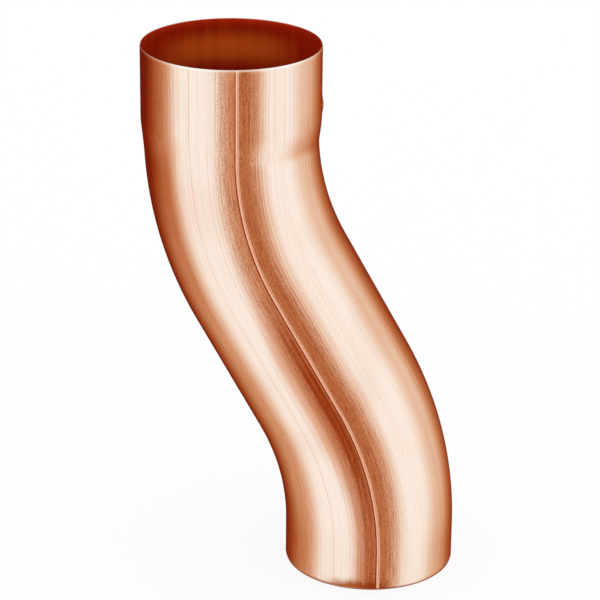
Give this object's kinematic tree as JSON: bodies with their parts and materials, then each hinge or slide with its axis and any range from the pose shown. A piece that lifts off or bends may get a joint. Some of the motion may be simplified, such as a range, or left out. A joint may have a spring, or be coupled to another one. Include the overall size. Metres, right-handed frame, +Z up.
{
  "type": "downpipe offset bend",
  "caption": "Copper offset bend for a round rainwater downpipe: a thin-walled tube in a shallow S, plain at its outlet and widened to a slip-in socket at its inlet.",
  "frame": {"origin": "centre of the outlet's end face", "axes": "+Z up along the outlet and the inlet, which are parallel; the inlet is moved over towards -X; the weld faces -Y"},
  "size_m": [0.1477, 0.0826, 0.2544],
  "materials": {
    "copper": "bright drawn copper sheet, fine lengthwise draw lines"
  },
  "bodies": {
    "root": {"offset_bend": "copper"}
  },
  "joints": []
}
